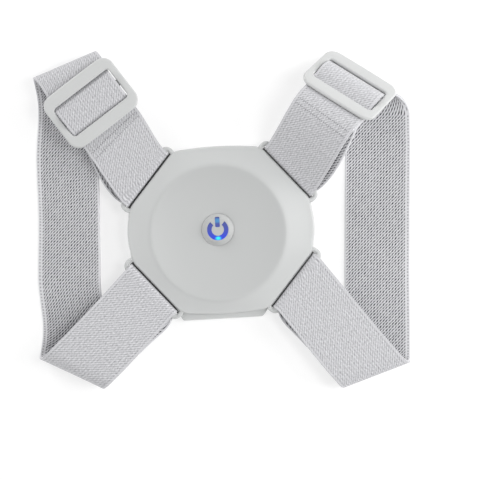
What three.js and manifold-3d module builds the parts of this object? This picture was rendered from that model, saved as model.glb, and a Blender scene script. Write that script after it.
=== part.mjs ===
// A posture corrector that lies on its back with its face up.
// X points right across the housing, Y up the housing and Z out of its face. Lengths are millimetres.
// Two loops of elastic webbing pass through slots at the corners of a plastic housing.

import * as THREE from 'three';
import { mergeVertices } from 'three/addons/utils/BufferGeometryUtils.js';
import Module from 'manifold-3d';

const wasm = await Module();
wasm.setup();

const CLEARANCE = 0.3;          // between pieces that lie against each other

// Webbing
const WEB_WIDTH = 38;
const WEB_THICK = 1.5;
const WEB_SIDE_LEAN = -3.3;     // degrees that the side runs lean from the housing's Y axis

// Housing, seen from its face
const BODY_HALF_WIDTH = 52.8;
const BODY_HALF_HEIGHT = 47.3;
const BODY_BOW = 1.0;           // how far the long edges bow outward
const BODY_CORNER_RADIUS = 5;
const SLOT_X = 39.2;            // centre of a slot's inner edge
const SLOT_Y = 30.3;
const SLOT_ANGLE = 49.5;        // degrees between a slot and the X axis
const SLOT_ROOM = 2.4;          // more than the webbing's width, because it crosses on a slant
const SLOT_LENGTH = WEB_WIDTH + SLOT_ROOM;
const SLOT_GAP = 3.0;
const LUG_END = 2.4;            // plastic past each end of a slot
const LUG_THICK = 3.4;          // also the diameter of the bar that the webbing turns around
const LUG_CORNER = 4.2;
const LUG_EDGE = 0.5;
const LUG_TOP = 11.6;

// Housing, in section
const BACK_HEIGHT = 7.2;
const BACK_BULGE = 0.8;
// The back cover stands out below the front as a sill
const SILL_X = -1.8;
const SILL_Y = 50.8;
const SILL_HALF_WIDTH = 27;
const SILL_BLEND = 5;
const BACK_ROUND = 5;           // how far the rounded edge of the back reaches in under it
const BACK_FLOOR = 2;
const WALL = 2;
const LIP_RISE = 1.8;           // lip of the back cover inside the front
const LIP_WALL = 1.5;
const FLANGE_Z = 12.1;
const RIM_Z = 14.5;
const DISH_RADIUS = 39;
const DISH_DEPTH = 4.2;
const DISH_POWER = 2.4;
const DISH_X = -1.6;
const DISH_Y = -1.4;

// Power key
const KEY_X = -1.75;
const KEY_Y = 0.3;
const KEY_RADIUS = 9.1;
const KEY_CROWN_RADIUS = 7;     // flat top that carries the symbol
const KEY_RISE = 2.3;           // above the bottom of the dish
const KEY_TRAVEL = 0.5;
const KEY_FLANGE = 1.1;         // how far its retaining flange reaches past it
const KEY_FLANGE_THICK = 1;
const KEY_STEM_RADIUS = 3;
const KEY_STEM_LENGTH = 2.4;
const SYMBOL_RADIUS = 6.15;
const SYMBOL_STROKE = 2.6;
const SYMBOL_OPENING = 42;      // degrees on each side of the top
const SYMBOL_BAR_WIDTH = 2.7;
const SYMBOL_BAR_TOP = 7.4;
const SYMBOL_BAR_BOTTOM = 1.5;
const SYMBOL_DEPTH = 0.8;
const SYMBOL_PROUD = 0.15;
const SYMBOL_FIT = 0.12;

// Tri-glide buckle: a frame and a centre bar under it
const BUCKLE_DEPTH = 34.6;      // along the webbing
const BUCKLE_THICK = 2.5;
const BUCKLE_CORNER = 6.5;
const BUCKLE_EDGE = 0.7;
const BUCKLE_RAIL = 4.3;        // plastic past each end of its window
const WINDOW_ROOM = 1.2;        // more than the webbing's width
const WINDOW_LENGTH = WEB_WIDTH + WINDOW_ROOM;
const WINDOW_DEPTH = 19.8;
const BUCKLE_LENGTH = WINDOW_LENGTH + 2 * BUCKLE_RAIL;
const WINDOW_CORNER = 2;
const CROSSBAR_WIDTH = 4;
const CROSSBAR_THICK = 2.2;
const CROSSBAR_SEAT = 5;        // length of its end blocks along the webbing
const TAIL_PAST_BUCKLE = 9;     // sewn end of the webbing, past the buckle's lower bar
const LOWER_TAIL_LENGTH = 34;   // sewn end behind each lower slot
const BACK_SHIFT = 3;           // how far the layer behind shows past the one in front
const TAIL_SHIFT = 2.2;         // the same at the lower slots

// Where the left and right loops lie. Headings are degrees from the X axis, seen from above.
// A roll is the fold where the webbing comes over and down to the surface. It starts at x, y, z, falling at
// its tilt, around a line that lies at its fold, and the webbing crosses that line skew degrees off square.
// The line turns by its swing along the roll.
// The buckle lies just before the top of the loop. There the left webbing rolls over, starting a way past the
// buckle's middle and shifted along the fold. The right webbing turns under its buckle's upper bar instead.
// A side run keeps to x at y, with its inner edge lifted.
const LEFT = {
  side: -1,
  topHeading: 126.9,
  topRise: 5,
  buckle: { x: -69.8, y: 76.6, z: 16.6, tilt: 0, fold: 201, skew: 13.3, swing: -2.3 },
  topRoll: { past: 20.3, shift: -1.8 },
  sideRun: [{ x: -87, y: 48, lift: 8 }, { x: -88.1, y: 10, lift: 10 }, { x: -90, y: -22, lift: 8 }],
  bottomRoll: { x: -83.8, y: -72.8, z: 16.4, tilt: 0, fold: 149, skew: 18, swing: 6 },
  bottomHeading: 45,
};
const RIGHT = {
  side: 1,
  topHeading: 50.5,
  topRise: 28,
  buckle: { x: 77.3, y: 76.4, z: 21.6, tilt: 39, fold: 159.5, skew: -21.5, swing: 0 },
  sideRun: [
    { x: 95.4, y: 62, lift: 0 }, { x: 94.6, y: 44, lift: 0 }, { x: 92.1, y: 5, lift: 0 },
    { x: 90.1, y: -28, lift: 0 },
  ],
  bottomRoll: { x: 79.8, y: -83.6, z: 13.8, tilt: 0, fold: 197.7, skew: -21, swing: 0 },
  bottomHeading: 127,
};

const PLASTIC = new THREE.MeshStandardMaterial({ color: 0xcdd0d0, roughness: 0.38, metalness: 0 });
const COVER = new THREE.MeshStandardMaterial({ color: 0xc6c9c9, roughness: 0.45, metalness: 0 });
const LIGHT = new THREE.MeshStandardMaterial({ color: 0x3a4fd0, roughness: 0.3, metalness: 0 });
const BUCKLE = new THREE.MeshStandardMaterial({ color: 0xd6d8d8, roughness: 0.4, metalness: 0 });
const WEBBING = new THREE.MeshStandardMaterial({ color: 0xbfbfc4, roughness: 0.95, metalness: 0 });

const ROUND_STEPS = 36;
const BAR_STEPS = 16;
const WRAP_STEPS = 8;
const ROLL_STEPS = 14;
const PASS_STEPS = 18;
const RISE_STEPS = 16;
const NEAR_STEPS = 12;
const RUN_STEPS = 5;
const OUTLINE_STEP = 9;         // most degrees between two points of the housing's outline
const KEY_HOLE = KEY_RADIUS + CLEARANCE;
const UP = new THREE.Vector3(0, 0, 1);
const radians = (degrees) => degrees * Math.PI / 180;
const heading = (degrees) => new THREE.Vector3(Math.cos(radians(degrees)), Math.sin(radians(degrees)), 0);
const dishZ = (radius) => RIM_Z - DISH_DEPTH * (1 - (radius / DISH_RADIUS) ** DISH_POWER);

// A closed three.js geometry as a solid that can be joined and cut.
function toSolid(geometry) {
  const bare = geometry.clone();
  bare.deleteAttribute('normal');
  bare.deleteAttribute('uv');
  const merged = mergeVertices(bare, 1e-4);
  const vertProperties = Float32Array.from(merged.attributes.position.array);
  const triVerts = Uint32Array.from(merged.index.array);
  return new wasm.Manifold(new wasm.Mesh({ numProp: 3, vertProperties, triVerts }));
}

function toMesh(name, solid, material) {
  const data = solid.getMesh();
  const geometry = new THREE.BufferGeometry();
  geometry.setAttribute('position', new THREE.BufferAttribute(Float32Array.from(data.vertProperties), 3));
  geometry.setIndex(new THREE.BufferAttribute(Uint32Array.from(data.triVerts), 1));
  geometry.computeVertexNormals();
  const mesh = new THREE.Mesh(geometry, material);
  mesh.name = name;
  return mesh;
}

// Flat geometry pushed up from z = low to z = high.
function slab(shape, low, high, bevel = 0) {
  const geometry = new THREE.ExtrudeGeometry(shape, {
    depth: high - low - 2 * bevel,
    bevelEnabled: bevel > 0,
    bevelThickness: bevel,
    bevelSize: bevel,
    bevelOffset: -bevel,
    bevelSegments: 1,
    curveSegments: 4,
  });
  geometry.translate(0, 0, low + bevel);
  return geometry;
}

function roundedRectangle(width, height, radius) {
  const [x, y] = [width / 2, height / 2];
  const path = new THREE.Shape();
  path.moveTo(x, -y + radius);
  path.absarc(x - radius, y - radius, radius, 0, Math.PI / 2);
  path.absarc(-x + radius, y - radius, radius, Math.PI / 2, Math.PI);
  path.absarc(-x + radius, -y + radius, radius, Math.PI, 1.5 * Math.PI);
  path.absarc(x - radius, -y + radius, radius, 1.5 * Math.PI, 2 * Math.PI);
  return path;
}

// The four slots: centre and direction of the inner edge, and the way out of the housing.
function slotFrame(side, top) {
  const [cos, sin] = [Math.cos(radians(SLOT_ANGLE)), Math.sin(radians(SLOT_ANGLE))];
  const along = new THREE.Vector3(-side * cos, top * sin, 0);
  const out = new THREE.Vector3(side * sin, top * cos, 0);
  const centre = new THREE.Vector3(side * SLOT_X, top * SLOT_Y, 0);
  return { along, out, centre };
}

// Outline of the housing: an octagon whose slanted edges are the slots' inner edges.
function bodyOutline() {
  const { along, centre } = slotFrame(1, 1);
  const atTop = centre.clone().addScaledVector(along, (BODY_HALF_HEIGHT - centre.y) / along.y);
  const atSide = centre.clone().addScaledVector(along, (BODY_HALF_WIDTH - centre.x) / along.x);
  const corners = [[1, 1], [-1, 1], [-1, -1], [1, -1]].flatMap(([sx, sy]) => {
    const pair = [[sx * atSide.x, sy * atSide.y], [sx * atTop.x, sy * atTop.y]];
    return sx * sy > 0 ? pair : pair.reverse();
  });
  const points = [];
  corners.forEach(([x, y], i) => {
    const here = new THREE.Vector2(x, y);
    const before = new THREE.Vector2(...corners[(i + corners.length - 1) % corners.length]);
    const after = new THREE.Vector2(...corners[(i + 1) % corners.length]);
    const start = here.clone().add(before.clone().sub(here).setLength(BODY_CORNER_RADIUS));
    const end = here.clone().add(after.clone().sub(here).setLength(BODY_CORNER_RADIUS));
    points.push(...new THREE.QuadraticBezierCurve(start, here, end).getPoints(4));
    if (i % 2 === 1) {
      const next = after.clone().add(here.clone().sub(after).setLength(BODY_CORNER_RADIUS));
      const middle = end.clone().add(next).multiplyScalar(0.5);
      const bowed = middle.clone().setLength(middle.length() + 2 * BODY_BOW);
      points.push(...new THREE.QuadraticBezierCurve(end, bowed, next).getPoints(5).slice(1, -1));
    }
  });
  return points.flatMap((point, i) => {
    const next = points[(i + 1) % points.length];
    const turn = Math.abs(Math.asin(point.clone().normalize().cross(next.clone().normalize())));
    const parts = Math.max(1, Math.ceil(turn / radians(OUTLINE_STEP)));
    return Array.from({ length: parts }, (_, k) => point.clone().lerp(next, k / parts));
  });
}

const OUTLINE = bodyOutline();
const OUTLINE_MEAN = (BODY_HALF_WIDTH + BODY_HALF_HEIGHT) / 2;

// A ring of points round the housing: from a circle of the given radius (blend 0) to the outline (blend 1).
// The circle's centre goes from the key's to the dish's as it grows. A ring with a sill reaches down to it.
function housingRing({ radius = 0, blend = 0, inset = 0, sill = false, z }) {
  return OUTLINE.map((edge) => {
    const angle = Math.atan2(edge.y, edge.x);
    const scale = 1 - inset / OUTLINE_MEAN;
    const share = (radius - KEY_HOLE) / (DISH_RADIUS - KEY_HOLE);
    const middle = new THREE.Vector2(KEY_X, KEY_Y).lerp(new THREE.Vector2(DISH_X, DISH_Y), share);
    const circle = new THREE.Vector2(radius * Math.cos(angle), radius * Math.sin(angle)).add(middle);
    const point = circle.lerp(edge.clone().multiplyScalar(scale), blend);
    if (sill) {
      const near = THREE.MathUtils.smoothstep(-edge.y, BODY_HALF_HEIGHT - SILL_BLEND, BODY_HALF_HEIGHT - 1);
      const inside = THREE.MathUtils.smoothstep(SILL_HALF_WIDTH - Math.abs(edge.x - SILL_X), 0, SILL_BLEND);
      point.y += (inset - SILL_Y - point.y) * near * inside;
    }
    return new THREE.Vector3(point.x, point.y, z);
  });
}

// A solid through a stack of rings. It ends in flat caps, or joins its last ring to its first.
function ringSolid(rings, closed) {
  const count = rings[0].length;
  const positions = rings.flat().flatMap((p) => [p.x, p.y, p.z]);
  const index = [];
  const quad = (a, b, c, d) => index.push(a, b, c, a, c, d);
  const last = closed ? rings.length : rings.length - 1;
  for (let k = 0; k < last; k += 1) {
    const from = k * count;
    const to = ((k + 1) % rings.length) * count;
    for (let i = 0; i < count; i += 1) {
      const j = (i + 1) % count;
      quad(from + i, from + j, to + j, to + i);
    }
  }
  if (!closed) {
    for (const [ring, flip] of [[0, true], [rings.length - 1, false]]) {
      const centre = positions.length / 3;
      positions.push(0, 0, rings[ring][0].z);
      for (let i = 0; i < count; i += 1) {
        const [a, b] = [ring * count + i, ring * count + (i + 1) % count];
        index.push(centre, ...(flip ? [b, a] : [a, b]));
      }
    }
  }
  const geometry = new THREE.BufferGeometry();
  geometry.setAttribute('position', new THREE.Float32BufferAttribute(positions, 3));
  geometry.setIndex(index);
  return toSolid(geometry);
}

// One corner lug: its plate, the cut for its slot, and the bar that is round where the webbing turns.
function lugPieces(side, top) {
  const { along, out, centre } = slotFrame(side, top);
  const low = LUG_TOP - LUG_THICK;
  const reach = SLOT_GAP + LUG_THICK;
  const place = new THREE.Matrix4().makeBasis(along, UP.clone().cross(along), UP);
  place.setPosition(centre);
  const outSign = Math.sign(UP.clone().cross(along).dot(out));
  const outline = roundedRectangle(SLOT_LENGTH + 2 * LUG_END, 2 * reach, LUG_CORNER);
  const plate = slab(outline, low, LUG_TOP, LUG_EDGE);
  const toBar = SLOT_GAP + LUG_THICK / 2;
  const cutWidth = reach + 1;
  const cut = slab(roundedRectangle(SLOT_LENGTH, cutWidth, SLOT_GAP / 3), low - 1, LUG_TOP + 2);
  cut.translate(0, outSign * cutWidth / 2, 0);
  const bar = new THREE.CylinderGeometry(LUG_THICK / 2, LUG_THICK / 2, SLOT_LENGTH + LUG_END, BAR_STEPS);
  bar.rotateY(Math.PI / BAR_STEPS).rotateZ(Math.PI / 2);
  bar.translate(0, outSign * toBar, LUG_TOP - LUG_THICK / 2);
  return [plate, cut, bar].map((geometry) => toSolid(geometry.applyMatrix4(place)));
}

const CORNERS = [[-1, 1], [-1, -1], [1, -1], [1, 1]];

function housingFront() {
  const foot = BACK_HEIGHT + CLEARANCE;
  const dishRadii = [KEY_HOLE, ...[0.46, 0.69, 0.85, 0.96].map((share) => share * DISH_RADIUS)];
  const slope = (share) => RIM_Z + (FLANGE_Z - RIM_Z) * share;
  const roof = FLANGE_Z - WALL - 0.2;
  const outside = [
    ...dishRadii.map((radius) => ({ radius, z: dishZ(radius) })),
    { radius: DISH_RADIUS, z: RIM_Z - 0.15 },
    { radius: DISH_RADIUS, blend: 0.12, z: slope(0.08) },
    { radius: DISH_RADIUS, blend: 0.5, z: slope(0.45) },
    { radius: DISH_RADIUS, blend: 1, inset: 1.4, z: slope(1) },
    { radius: DISH_RADIUS, blend: 1, inset: 0.4, z: FLANGE_Z - 0.4 },
    { radius: DISH_RADIUS, blend: 1, z: FLANGE_Z - 1.4 },
    { radius: DISH_RADIUS, blend: 1, z: foot },
  ];
  const inside = [
    { radius: DISH_RADIUS, blend: 1, inset: WALL, z: foot },
    { radius: DISH_RADIUS, blend: 1, inset: WALL, z: roof },
    { radius: DISH_RADIUS, blend: 0.4, z: slope(0.4) - WALL },
    ...[0.96 * DISH_RADIUS, 0.64 * DISH_RADIUS, KEY_HOLE]
      .map((radius) => ({ radius, z: dishZ(radius) - WALL })),
  ];
  let solid = ringSolid([...outside, ...inside].reverse().map(housingRing), true);
  const middle = { radius: DISH_RADIUS, blend: 1, inset: WALL / 2 };
  const coreEnds = [{ ...middle, z: foot - 1 }, { ...middle, z: LUG_TOP + 1 }];
  const core = ringSolid(coreEnds.map(housingRing), false);
  for (const [side, top] of CORNERS) {
    const [plate, cut, bar] = lugPieces(side, top);
    solid = solid.add(plate.subtract(core)).subtract(cut).add(bar);
  }
  return toMesh('housing_front', solid, PLASTIC);
}

function housingBack() {
  const lip = WALL + CLEARANCE;
  const top = BACK_HEIGHT + LIP_RISE;
  const edge = (inset, z, sill = false) => ({ radius: DISH_RADIUS, blend: 1, inset, sill, z });
  const rings = [
    edge(BACK_ROUND, 0, true), edge(0.44 * BACK_ROUND, 0.5, true), edge(0.08 * BACK_ROUND, 2, true),
    edge(-BACK_BULGE, 4.2, true), edge(-BACK_BULGE * 0.6, 6, true), edge(0, BACK_HEIGHT, true),
    edge(lip, BACK_HEIGHT), edge(lip, top), edge(lip + LIP_WALL, top), edge(lip + LIP_WALL, BACK_FLOOR),
  ];
  const postTop = keyBottom() - KEY_TRAVEL - CLEARANCE;
  const post = new THREE.CylinderGeometry(KEY_STEM_RADIUS + 1, KEY_STEM_RADIUS + 1, postTop - 1, 24);
  post.rotateX(Math.PI / 2).translate(KEY_X, KEY_Y, (postTop + 1) / 2);
  return toMesh('housing_back', ringSolid(rings.map(housingRing), false).add(toSolid(post)), COVER);
}

const keyTop = () => dishZ(0) + KEY_RISE;
const keyShoulder = () => dishZ(KEY_RADIUS) - WALL - CLEARANCE;
const keyBottom = () => keyShoulder() - KEY_FLANGE_THICK - KEY_STEM_LENGTH;

function symbolRing(grow) {
  const [outer, inner] = [SYMBOL_RADIUS + grow, SYMBOL_RADIUS - SYMBOL_STROKE - grow];
  const open = radians(SYMBOL_OPENING) - grow / SYMBOL_RADIUS;
  const shape = new THREE.Shape();
  shape.absarc(0, 0, outer, Math.PI / 2 + open, 2.5 * Math.PI - open, false);
  shape.absarc(0, 0, inner, 2.5 * Math.PI - open, Math.PI / 2 + open, true);
  return shape;
}

function symbolBar(grow) {
  const shape = roundedRectangle(
    SYMBOL_BAR_WIDTH + 2 * grow, SYMBOL_BAR_TOP - SYMBOL_BAR_BOTTOM + 2 * grow, SYMBOL_BAR_WIDTH / 3);
  const middle = (SYMBOL_BAR_TOP + SYMBOL_BAR_BOTTOM) / 2;
  return new THREE.Shape(shape.getPoints(4).map((p) => new THREE.Vector2(p.x, p.y + middle)));
}

function powerKey() {
  const top = keyTop();
  const shoulder = keyShoulder();
  const seat = top - SYMBOL_DEPTH;
  const profile = [
    [0, keyBottom()], [KEY_STEM_RADIUS, keyBottom()], [KEY_STEM_RADIUS, shoulder - KEY_FLANGE_THICK],
    [KEY_RADIUS + KEY_FLANGE, shoulder - KEY_FLANGE_THICK], [KEY_RADIUS + KEY_FLANGE, shoulder],
    [KEY_RADIUS, shoulder], [KEY_RADIUS, top - KEY_RISE], [KEY_RADIUS - 0.3, top - KEY_RISE * 0.55],
    [KEY_RADIUS - 0.9, top - KEY_RISE * 0.22], [KEY_CROWN_RADIUS + 0.4, top - 0.1],
    [KEY_CROWN_RADIUS - 0.6, top], [0, top],
  ].map(([r, z]) => new THREE.Vector2(r, z));
  const body = new THREE.LatheGeometry(profile, ROUND_STEPS).rotateX(Math.PI / 2);
  let key = toSolid(body);
  for (const shape of [symbolRing(SYMBOL_FIT), symbolBar(SYMBOL_FIT)]) {
    key = key.subtract(toSolid(slab(shape, seat - SYMBOL_FIT, top + 1)));
  }
  const inlay = (shape) => toSolid(slab(shape, seat, top + SYMBOL_PROUD));
  return [
    ['power_button', key, PLASTIC],
    ['symbol_ring', inlay(symbolRing(0)), LIGHT],
    ['symbol_bar', inlay(symbolBar(0)), LIGHT],
  ].map(([name, solid, material]) => toMesh(name, solid.translate([KEY_X, KEY_Y, 0]), material));
}

// The webbing's middle surface is a list of straight lines across it, each with a centre,
// a direction and a half length.
function line(centre, across, half = WEB_WIDTH / 2) {
  return { centre, across: across.clone().normalize(), half };
}
const leftEnd = (l) => l.centre.clone().addScaledVector(l.across, l.half);
const rightEnd = (l) => l.centre.clone().addScaledVector(l.across, -l.half);
function between(left, right) {
  return {
    centre: left.clone().add(right).multiplyScalar(0.5),
    across: left.clone().sub(right).normalize(),
    half: left.distanceTo(right) / 2,
  };
}

function hermite(p0, t0, p1, t1, s) {
  const length = p0.distanceTo(p1);
  return p0.clone().multiplyScalar(2 * s ** 3 - 3 * s ** 2 + 1)
    .addScaledVector(t0, length * (s ** 3 - 2 * s ** 2 + s))
    .addScaledVector(p1, -2 * s ** 3 + 3 * s ** 2)
    .addScaledVector(t1, length * (s ** 3 - s ** 2));
}

// Lines between two lines, leaving the first and reaching the second in the given directions.
function span(from, leaving, to, arriving, steps) {
  const lines = [];
  for (let k = 1; k < steps; k += 1) {
    const s = k / steps;
    lines.push(between(
      hermite(leftEnd(from), leaving, leftEnd(to), arriving, s),
      hermite(rightEnd(from), leaving, rightEnd(to), arriving, s)));
  }
  return lines;
}

// Directions of the webbing where it enters a roll. The top end of a loop rolls away from +Y's side.
function rollFrame({ x, y, z, tilt, fold, skew, swing }, top) {
  const folded = heading(fold);
  const level = folded.clone().cross(UP).multiplyScalar(top);
  const fall = level.clone().multiplyScalar(Math.cos(radians(tilt)));
  fall.addScaledVector(UP, -Math.sin(radians(tilt)));
  const [sin, cos] = [Math.sin(radians(skew)), Math.cos(radians(skew))];
  const along = fall.clone().multiplyScalar(cos).addScaledVector(folded, sin);
  const across = folded.clone().multiplyScalar(cos).addScaledVector(fall, -sin);
  const normal = along.clone().cross(across).multiplyScalar(top);
  return { origin: new THREE.Vector3(x, y, z), folded, level, along, across, normal, tilt, skew, swing };
}

// The lines of a roll that starts a given way past its frame's origin and ends flat on the surface.
function rollLines(frame, past, shift) {
  const { folded, level, along, tilt, skew, swing } = frame;
  const start = frame.origin.clone().addScaledVector(along, past).addScaledVector(folded, shift);
  const radius = (start.z - WEB_THICK / 2) / (1 + Math.cos(radians(tilt)));
  const outward = (turn) => UP.clone().multiplyScalar(Math.cos(turn))
    .addScaledVector(level, Math.sin(turn));
  const axis = start.clone().addScaledVector(outward(radians(tilt)), -radius);
  return Array.from({ length: ROLL_STEPS + 1 }, (_, k) => {
    const turned = (Math.PI - radians(tilt)) * k / ROLL_STEPS;
    const point = axis.clone().addScaledVector(outward(radians(tilt) + turned), radius)
      .addScaledVector(folded, radius * turned * Math.tan(radians(skew)));
    const across = folded.clone().applyAxisAngle(UP, radians(swing * k / ROLL_STEPS));
    return line(point, across, WEB_WIDTH / 2 / Math.cos(radians(skew)));
  });
}

// Half a turn around a lug's bar, from behind it to its face. The webbing rises at an angle on both sides.
function slotWrap(side, top, slant, rise) {
  const { out, centre } = slotFrame(side, top);
  const radius = LUG_THICK / 2 + CLEARANCE + WEB_THICK / 2;
  const axis = centre.clone().addScaledVector(out, SLOT_GAP + LUG_THICK / 2);
  axis.z = LUG_TOP - LUG_THICK / 2;
  const across = UP.clone().cross(out).multiplyScalar(top);
  return Array.from({ length: WRAP_STEPS + 1 }, (_, k) => {
    const turn = Math.PI * k / WRAP_STEPS - radians(rise);
    const point = axis.clone().addScaledVector(out, -radius * Math.sin(turn))
      .addScaledVector(UP, -radius * Math.cos(turn));
    return line(point, across, WEB_WIDTH / 2 / Math.cos(slant));
  });
}

// Directions out of the webbing's outer face at the two ends of each line.
function faceNormals(lines) {
  const ends = [lines.map(leftEnd), lines.map(rightEnd)];
  return lines.map((l, i) => ends.map((points) => {
    const before = points[Math.max(i - 1, 0)];
    const after = points[Math.min(i + 1, points.length - 1)];
    return after.clone().sub(before).normalize().cross(l.across).normalize();
  }));
}

// Lines moved off their face by a depth that changes along them, and sideways by a shift.
function layerUnder(lines, depthAt, shiftAt = () => 0) {
  const normals = faceNormals(lines);
  return lines.map((l, i) => {
    const share = i / (lines.length - 1);
    const [left, right] = [leftEnd(l), rightEnd(l)].map((end, k) => end
      .addScaledVector(normals[i][k], -depthAt(share)).addScaledVector(l.across, shiftAt(share)));
    return between(left, right);
  });
}

// A strip of webbing through its lines.
function webbing(name, lines) {
  const normals = faceNormals(lines);
  const positions = lines.flatMap((l, i) => {
    const [left, right] = [leftEnd(l), rightEnd(l)];
    const [up, down] = [WEB_THICK / 2, -WEB_THICK / 2];
    return [[left, 0, up], [right, 1, up], [right, 1, down], [left, 0, down]]
      .flatMap(([end, k, offset]) => end.clone().addScaledVector(normals[i][k], offset).toArray());
  });
  const index = [0, 3, 2, 0, 2, 1];
  for (let i = 0; i + 1 < lines.length; i += 1) {
    for (let k = 0; k < 4; k += 1) {
      const [a, b] = [4 * i + k, 4 * i + (k + 1) % 4];
      index.push(a, b, b + 4, a, b + 4, a + 4);
    }
  }
  const last = 4 * (lines.length - 1);
  index.push(last, last + 1, last + 2, last, last + 2, last + 3);
  const geometry = new THREE.BufferGeometry();
  geometry.setAttribute('position', new THREE.Float32BufferAttribute(positions, 3));
  geometry.setIndex(index);
  return toMesh(name, toSolid(geometry), WEBBING);
}

const LAYER = WEB_THICK + CLEARANCE;                  // from one layer's middle to the next
const FRAME_LOW = WEB_THICK / 2 + CLEARANCE;          // underside of the buckle's frame above the webbing
const HUMP = 2 * LAYER + 1.2;                         // middle of the webbing where it crosses the crossbar
const HUMP_POWER = 0.8;                               // below 1, the hump is broader
const CROSSBAR_LEVEL = HUMP - LAYER - FRAME_LOW - CROSSBAR_THICK / 2;

// The webbing that slides through the buckle: under one bar, over the crossbar and under the other.
function slidingPass(frame) {
  return Array.from({ length: PASS_STEPS + 1 }, (_, k) => {
    const share = 2 * k / PASS_STEPS - 1;
    const rise = Math.max(0, Math.cos(Math.PI / 2 * share)) ** HUMP_POWER;
    return frameLine(frame, share * WINDOW_DEPTH / 2, HUMP * rise);
  });
}

function frameLine({ origin, along, across, normal }, s, height) {
  return line(origin.clone().addScaledVector(along, s).addScaledVector(normal, height), across);
}

// The sewn end of the webbing: from under the lower bar, around the crossbar and back below itself.
function crossbarLoop(frame) {
  const round = CROSSBAR_THICK / 2 + FRAME_LOW;
  const straight = (CROSSBAR_WIDTH - CROSSBAR_THICK) / 2;
  const arc = (middle, from, to, steps) => Array.from({ length: steps + 1 }, (_, k) => {
    const turn = radians(from + (to - from) * k / steps);
    return [middle + round * Math.cos(turn), CROSSBAR_LEVEL + round * Math.sin(turn)];
  });
  const outer = WINDOW_DEPTH / 2;
  const rows = [
    [-outer, -LAYER], [-outer + 2.6, -LAYER * 0.9], [-straight - round - 0.9, -LAYER * 0.3],
    ...arc(-straight, 170, 90, 3), ...arc(straight, 90, -90, 6),
    [-straight, CROSSBAR_LEVEL - round], [-straight - round, -LAYER * 1.25],
    [-straight - 2 * round, -LAYER * 1.85], [-outer, -2 * LAYER],
  ];
  return rows.map(([s, height]) => frameLine(frame, s, height));
}

const lengthOf = (lines) => lines.slice(1)
  .reduce((sum, l, i) => sum + l.centre.distanceTo(lines[i].centre), 0);

// The whole strap of one side, from the end sewn round the crossbar to the end sewn behind the lower slot.
function strap(name, loop) {
  const { side } = loop;
  const frame = rollFrame(loop.buckle, 1);
  const slant = ({ out }, direction) => Math.acos(Math.min(1, Math.abs(out.dot(direction))));
  const topWay = heading(loop.topHeading);
  const bottomWay = heading(loop.bottomHeading);
  const topWrap = slotWrap(side, 1, slant(slotFrame(side, 1), topWay), loop.topRise);
  const bottomWrap = slotWrap(side, -1, slant(slotFrame(side, -1), bottomWay), 0).reverse();
  const barOut = topWay.clone().multiplyScalar(Math.cos(radians(loop.topRise)))
    .addScaledVector(UP, Math.sin(radians(loop.topRise)));
  const underBar = frameLine(frame, -BUCKLE_DEPTH / 2 - 1, 0);
  const rising = span(topWrap.at(-1), barOut, underBar, frame.along, RISE_STEPS);
  const face = [topWrap.at(-1), ...rising, underBar];
  const backDepth = (share) => 2 * LAYER + (LUG_THICK + 2 * FRAME_LOW - 2 * LAYER) * (1 - share) ** 2;
  const backShift = (share) => -side * BACK_SHIFT * Math.sin(Math.PI * share ** 0.7);
  const back = layerUnder(face, backDepth, backShift).reverse();
  const tailStart = Math.round(face.length * (1 - TAIL_PAST_BUCKLE / lengthOf(face)));
  const tail = layerUnder(face, () => LAYER).slice(tailStart);
  const over = slidingPass(frame);
  let leaving = frame.along;
  if (loop.topRoll) {
    over.push(...rollLines(frame, loop.topRoll.past, loop.topRoll.shift));
    leaving = frame.level.clone().multiplyScalar(-Math.cos(radians(frame.skew)))
      .addScaledVector(frame.folded, Math.sin(radians(frame.skew)));
  }
  const bottom = rollFrame(loop.bottomRoll, -1);
  const bottomRoll = rollLines(bottom, 0, 0).reverse();
  const near = span(bottomRoll.at(-1), bottom.along.clone().negate(), bottomWrap[0], bottomWay, NEAR_STEPS);
  const nearFace = [bottomRoll.at(-1), ...near, bottomWrap[0]];
  const lowerDepth = (share) => LAYER + (LUG_THICK + 2 * FRAME_LOW - LAYER) * share ** 2;
  const lowerStart = Math.round(nearFace.length * (1 - LOWER_TAIL_LENGTH / lengthOf(nearFace)));
  const tailShift = (share) => side * TAIL_SHIFT * Math.sin(Math.PI * share ** 4);
  const lowerTail = layerUnder(nearFace, lowerDepth, tailShift).slice(lowerStart).reverse();
  return webbing(name, [
    ...tail, ...crossbarLoop(frame), ...back.slice(0, -1), ...topWrap, ...rising, underBar,
    ...over, ...sideLines(loop, over.at(-1), leaving, bottomRoll[0], bottom), ...bottomRoll,
    ...near, ...bottomWrap, ...lowerTail.slice(1),
  ]);
}

// The run along the surface, from the line where the webbing leaves the top to the bottom roll.
function sideLines(loop, from, leaving, to, bottom) {
  const down = heading(-90 + WEB_SIDE_LEAN);
  const square = heading(180 + WEB_SIDE_LEAN);
  const stations = loop.sideRun.map(({ x, y, lift }) => {
    const across = square.clone().multiplyScalar(WEB_WIDTH).addScaledVector(UP, loop.side * lift);
    return line(new THREE.Vector3(x, y, (WEB_THICK + Math.abs(lift)) / 2), across);
  });
  const arriving = bottom.level.clone().multiplyScalar(Math.cos(radians(bottom.skew)))
    .addScaledVector(bottom.folded, -Math.sin(radians(bottom.skew)));
  const stops = [from, ...stations, to];
  const ways = [leaving, ...stations.map(() => down), arriving];
  const steps = (i) => (i === 0 && !loop.topRoll ? ROLL_STEPS : RUN_STEPS);
  return stops.slice(1).flatMap((stop, i) => [
    ...span(stops[i], ways[i], stop, ways[i + 1], steps(i)), ...(i < stations.length ? [stop] : []),
  ]);
}

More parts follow.
